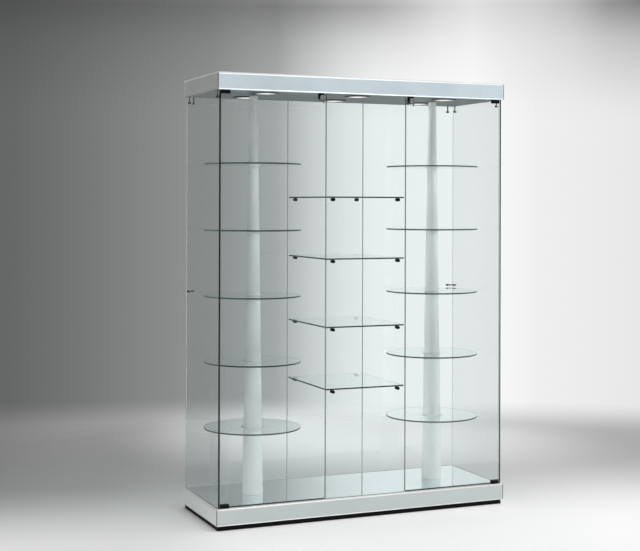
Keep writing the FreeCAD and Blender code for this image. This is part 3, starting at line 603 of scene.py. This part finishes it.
# columns, covers, fittings and boards
black = {"metallic": 0.0, "grainShare": 0.3, "specular": 0.12}
finishes = {
    # painted light and shade: lighter towards the foot and the head, darker between; levels are
    # (height, tone) pairs
    "columnMetal": {"colour": (0.96, 0.94, 0.955), "roughness": 0.60, "stretch": (60, 60, 4),
                    "scale": 10.0, "grainShare": 0.03, "bump": 0.05, "metallic": 0.04,
                    "levels": [(0.30, 1.0), (0.45, 0.97), (0.70, 0.82), (1.20, 0.78),
                               (1.5, 0.82), (1.75, 0.96)]},
    "soffitMetal": {"colour": (0.164, 0.202, 0.211), "roughness": 0.50, "stretch": (4, 4, 4),
                    "scale": 40.0, "grainShare": 0.03, "metallic": 0.6},
    "mirrorGlass": {"colour": (0.84, 0.925, 0.93), "roughness": 0.03, "scale": 5.0,
                    "grainShare": 0.01, "bump": 0.0, "spread": 0.02},
    "coverSheet": {"colour": (0.52, 0.55, 0.56), "roughness": 0.42, "stretch": (40, 3, 3),
                   "scale": 20.0, "grainShare": 0.05, "bump": 0.05},
    "zincSteel": {"colour": (0.42, 0.42, 0.40), "roughness": 0.38, "scale": 60.0,
                  "grainShare": 0.12, "bump": 0.10},
    "chrome": {"colour": (0.72, 0.73, 0.74), "roughness": 0.12, "scale": 80.0,
               "grainShare": 0.03},
    "keySteel": {"colour": (0.40, 0.40, 0.39), "roughness": 0.28, "stretch": (1, 1, 60),
                 "scale": 30.0, "grainShare": 0.08, "bump": 0.05},
    "fittingBlack": {"colour": (0.004, 0.0045, 0.005), "roughness": 0.36, "scale": 120.0, **black},
    "plinthBlack": {"colour": (0.004, 0.004, 0.0045), "roughness": 0.60, "scale": 60.0, **black},
    "footBlack": {"colour": (0.03, 0.03, 0.03), "roughness": 0.55, "scale": 80.0, **black},
    "bezelBlack": {"colour": (0.02, 0.02, 0.02), "roughness": 0.30, "scale": 60.0, **black},
    "gasketBlack": {"colour": (0.003, 0.0035, 0.0035), "roughness": 0.60, "scale": 60.0, **black},
    "jointSeal": {"colour": (0.30, 0.36, 0.35), "roughness": 0.35, "scale": 60.0, "metallic": 0.0,
                  "grainShare": 0.3, "specular": 0.4},
    "nylon": {"colour": (0.66, 0.64, 0.58), "roughness": 0.42, "scale": 40.0, "metallic": 0.0,
              "grainShare": 0.05},
    "boardWood": {"colour": (0.34, 0.24, 0.15), "roughness": 0.62, "stretch": (3, 60, 60),
                  "scale": 6.0, "metallic": 0.0, "grainShare": 0.25, "bump": 0.2},
}
finishNodes = {
    "columnMetal": both("column", "column_cap", "column_hub", "shelf_collars"),
    "soffitMetal": ["soffit_panel"],
    "mirrorGlass": ["mirror_floor"],
    "coverSheet": ["canopy_top_panel", "downlight_cans"],
    "zincSteel": ["corner_brackets", "bracket_screws", "gearmotors"],
    "chrome": ["bolt_keepers", *both("lock_plug", "lock_bolt")],
    "keySteel": both("lock_key"),
    "fittingBlack": ["shelf_pegs", "pane_clips", *both("hinge_clamps", "lock_body")],
    "plinthBlack": ["plinth", "lighting_transformer", "cable_grommets"],
    "footBlack": ["levelling_feet"],
    "bezelBlack": ["downlight_bezels"],
    "gasketBlack": ["glazing_channels"],
    "nylon": ["pivot_bushes"],
    "boardWood": ["base_deck", "base_bottom_board"],
}
levelSpan = 2.0     # height that a piece's levels are measured over


def plainFinish(name, colour, roughness, stretch=(1, 1, 1), scale=900.0, grainShare=0.06,
                bump=0.02, metallic=1.0, cloudShare=0.05, spread=0.08, specular=0.5, levels=None):
    # metal, lacquer, plastic or board: grain, cloudy change of tone and gloss, a little relief
    material, tree = newMaterial(name)
    texture = useGroup(tree, grains, Stretch=stretch, Scale=scale)
    grain, cloud = texture.outputs["Grain"], texture.outputs["Cloud"]
    dark = tuple(part * (1 - grainShare) for part in colour)
    light = tuple(min(1.0, part * (1 + grainShare)) for part in colour)
    tone = multiply(tree, mixColour(tree, grain, dark, light),
                    cloudTone(tree, texture, 1 - cloudShare))
    # painted light and shade by height, for a finish that has levels
    if levels:
        height = mapRange(tree, axes(tree, objectPoint(tree))[2], 0.0, levelSpan)
        stops = [(level / levelSpan, shade) for level, shade in levels]
        tone = multiply(tree, tone, ramp(tree, height, stops))
    gloss = mapRange(tree, calculate(tree, "ADD", grain, cloud), 2 * noiseLow, 2 * noiseHigh,
                     roughness - spread / 2, roughness + spread / 2)
    shader = addNode(tree, "ShaderNodeBsdfPrincipled")
    link(tree, tone, shader.inputs["Base Color"])
    link(tree, gloss, shader.inputs["Roughness"])
    link(tree, relief(tree, grain, bump, fineRelief), shader.inputs["Normal"])
    shader.inputs["Metallic"].default_value = metallic
    shader.inputs["Specular IOR Level"].default_value = specular
    toSurface(tree, shader)
    return material


finish = {name: plainFinish(name, **values) for name, values in finishes.items()}
for name, nodes in finishNodes.items():
    dress(finish[name], *nodes)


# the lit lenses
lens = {
    "spacing": 0.42,
    "row": 0.125,
    "radius": 0.043,
    "brightShare": 0.25,            # how much of the radius the bright middle takes
    "centre": (1.0, 0.975, 0.93),
    "rim": (0.50, 0.49, 0.47),
    "unlit": (0.2, 0.2, 0.2),
    "glow": 0.9,
    "roughness": 0.4,
    "grain": 300.0,
    "cloud": 30.0,
    "cloudDarkest": 0.96,
    "frost": 0.1,
}


def lensGlow():
    # a frosted lens, warm white in the middle and dimmer towards its rim
    material, tree = newMaterial("lensGlow")
    x, y, _ = axes(tree, objectPoint(tree))
    x = calculate(tree, "ABSOLUTE", x)
    outer = calculate(tree, "ABSOLUTE", calculate(tree, "SUBTRACT", x, lens["spacing"]))
    x = calculate(tree, "MINIMUM", x, outer)        # from the middle lamp or the outer one
    y = calculate(tree, "SUBTRACT", calculate(tree, "ABSOLUTE", y), lens["row"])
    y = calculate(tree, "ABSOLUTE", y)
    square = calculate(tree, "ADD", calculate(tree, "POWER", x, 2.0),
                       calculate(tree, "POWER", y, 2.0))
    reach = calculate(tree, "SQRT", square)
    share = fadeIn(tree, reach, (lens["brightShare"] * lens["radius"], lens["radius"]))
    tone = mixColour(tree, share, lens["centre"], lens["rim"])
    frost = useGroup(tree, grains, Scale=lens["grain"], Cloud=lens["cloud"])
    tone = multiply(tree, tone, cloudTone(tree, frost, lens["cloudDarkest"]))
    shader = addNode(tree, "ShaderNodeBsdfPrincipled")
    shader.inputs["Roughness"].default_value = lens["roughness"]
    shader.inputs["Emission Strength"].default_value = lens["glow"]
    link(tree, multiply(tree, tone, lens["unlit"]), shader.inputs["Base Color"])
    link(tree, tone, shader.inputs["Emission Color"])
    link(tree, relief(tree, frost.outputs["Grain"], lens["frost"], fineRelief),
         shader.inputs["Normal"])
    toSurface(tree, shader)
    return material


dress(lensGlow(), "downlight_lenses", "downlight_lamps")
print("CAD nodes dressed")


# modelling helpers

smoothAngle = 40        # degrees; sharper corners stay crisp


def enterEdit():
    bpy.ops.object.mode_set(mode="EDIT")


def leaveEdit():
    bpy.ops.object.mode_set(mode="OBJECT")


def pickOnly(piece):
    bpy.ops.object.select_all(action="DESELECT")
    piece.select_set(True)
    bpy.context.view_layer.objects.active = piece


def settle():
    # puts the selected piece's place, turn and scale into its mesh
    bpy.ops.object.transform_apply(location=True, rotation=True, scale=True)


def pickFaces(piece, wanted):
    # selects the faces whose normal is wanted, and leaves the piece in edit mode
    enterEdit()
    bpy.ops.mesh.select_all(action="DESELECT")
    bpy.ops.mesh.select_mode(type="FACE")
    leaveEdit()
    for face in piece.data.polygons:
        face.select = wanted(face.normal)
    enterEdit()


def block(low, high):
    bpy.ops.object.select_all(action="DESELECT")
    middle = [(a + b) / 2 for a, b in zip(low, high)]
    bpy.ops.mesh.primitive_cube_add(size=1, location=middle)
    piece = bpy.context.object
    piece.scale = [b - a for a, b in zip(low, high)]
    bpy.ops.object.transform_apply(location=False, rotation=False, scale=True)
    return piece


def disc(middle, radius, thickness, corners):
    # a round blank that faces the front
    bpy.ops.object.select_all(action="DESELECT")
    bpy.ops.mesh.primitive_cylinder_add(vertices=corners, radius=radius, depth=thickness,
                                        location=middle, rotation=(math.radians(90), 0, 0))
    settle()
    return bpy.context.object


def soften(piece, width):
    bevel = piece.modifiers.new("softEdge", "BEVEL")
    bevel.width = width
    bevel.segments = 2
    bevel.limit_method = "ANGLE"
    bpy.context.view_layer.objects.active = piece
    bpy.ops.object.modifier_apply(modifier=bevel.name)


def copyOf(piece, offset=(0, 0, 0)):
    # a copy with its own mesh
    pickOnly(piece)
    bpy.ops.object.duplicate()
    copy = bpy.context.object
    copy.parent = None
    bpy.ops.transform.translate(value=offset)
    return copy


def mirrorOf(piece):
    # a copy on the other side of the cabinet's middle
    copy = copyOf(piece)
    settle()
    enterEdit()
    bpy.ops.mesh.select_all(action="SELECT")
    bpy.ops.transform.mirror(constraint_axis=(True, False, False), center_override=(0, 0, 0))
    bpy.ops.mesh.normals_make_consistent(inside=False)
    leaveEdit()
    return copy


def seat(piece, name, material, body):
    # finishes a piece and lets it ride on its body
    pickOnly(piece)
    settle()
    bpy.ops.object.shade_smooth_by_angle(angle=math.radians(smoothAngle))
    piece.name = name
    piece.data.name = name
    piece.data.materials.clear()
    piece.data.materials.append(material)
    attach(piece, body)


# door bottom seals: a black strip in the gap under each door, with a narrow wiping lip
sweep = {"from": (-0.6090, -0.2207, 0.0928), "to": (-0.1880, -0.2153, 0.0958), "lip": 0.0010,
         "shoulder": 0.0014, "edge": 0.0003}


def makeSweeps():
    seal = block(sweep["from"], sweep["to"])
    pickFaces(seal, lambda normal: normal.z < -0.9)
    bpy.ops.mesh.inset(thickness=sweep["shoulder"], depth=0)
    bpy.ops.mesh.extrude_region_move(TRANSFORM_OT_translate={"value": (0, 0, -sweep["lip"])})
    leaveEdit()
    soften(seal, sweep["edge"])
    other = mirrorOf(seal)
    seat(seal, "door_seal_left", finish["gasketBlack"], "door_left")
    seat(other, "door_seal_right", finish["gasketBlack"], "door_right")


makeSweeps()
print("door seals made")


# chrome rings round the lock plugs, turned, with a rounded front edge
ring = {"x": 0.2085, "z": 1.7650, "back": -0.2311, "front": -0.2321, "inner": 0.0064,
        "outer": 0.0094, "edge": 0.0003, "corners": 64}


def makeRings():
    middle = (-ring["x"], (ring["back"] + ring["front"]) / 2, ring["z"])
    left = disc(middle, ring["outer"], ring["back"] - ring["front"], ring["corners"])
    pickFaces(left, lambda normal: abs(normal.y) > 0.9)
    bpy.ops.mesh.inset(thickness=ring["outer"] - ring["inner"], depth=0)
    bpy.ops.mesh.bridge_edge_loops()
    leaveEdit()
    soften(left, ring["edge"])
    right = copyOf(left, offset=(2 * ring["x"], 0, 0))
    seat(left, "lock_ring_left", finish["chrome"], "door_left")
    seat(right, "lock_ring_right", finish["chrome"], "door_right")


makeRings()
print("lock rings made")


# set screws in the front of the hinge clamps, with a round socket
setScrew = {"places": (0.6170, 0.6410), "levels": (0.0990, 1.7750), "face": -0.2280,
            "proud": 0.0008, "sunk": 0.0012, "radius": 0.0026, "socket": 0.0013,
            "socketDepth": 0.0010, "edge": 0.0002, "corners": 36}


def makeSetScrews():
    screw = setScrew
    middle = (-screw["places"][0], screw["face"] + (screw["sunk"] - screw["proud"]) / 2,
              screw["levels"][0])
    head = disc(middle, screw["radius"], screw["sunk"] + screw["proud"], screw["corners"])
    soften(head, screw["edge"])
    pickFaces(head, lambda normal: normal.y < -0.95)
    bpy.ops.mesh.inset(thickness=screw["radius"] - screw["edge"] - screw["socket"], depth=0)
    inward = {"value": (0, screw["socketDepth"], 0)}
    bpy.ops.mesh.extrude_region_move(TRANSFORM_OT_translate=inward)
    leaveEdit()
    for side, sign in (("left", -1), ("right", 1)):
        for row, place in enumerate(screw["places"]):
            for level, height in enumerate(screw["levels"]):
                shift = (sign * place - middle[0], 0, height - middle[2])
                seat(copyOf(head, offset=shift), "clamp_screw_%s_%d_%d" % (side, row, level),
                     finish["fittingBlack"], "door_" + side)
    bpy.data.objects.remove(head)


makeSetScrews()
print("clamp screws made")


# clear joint strips between the rear panes
jointStrip = {"x": 0.1850, "half": 0.0007, "y": (0.2158, 0.2202), "z": (0.0920, 1.7820),
              "edge": 0.0002}


def makeJointStrips():
    low = (-jointStrip["x"] - jointStrip["half"], jointStrip["y"][0], jointStrip["z"][0])
    high = (-jointStrip["x"] + jointStrip["half"], jointStrip["y"][1], jointStrip["z"][1])
    left = block(low, high)
    soften(left, jointStrip["edge"])
    right = copyOf(left, offset=(2 * jointStrip["x"], 0, 0))
    seat(left, "rear_joint_left", finish["jointSeal"], "cabinet")
    seat(right, "rear_joint_right", finish["jointSeal"], "cabinet")


makeJointStrips()
print("rear joints made")
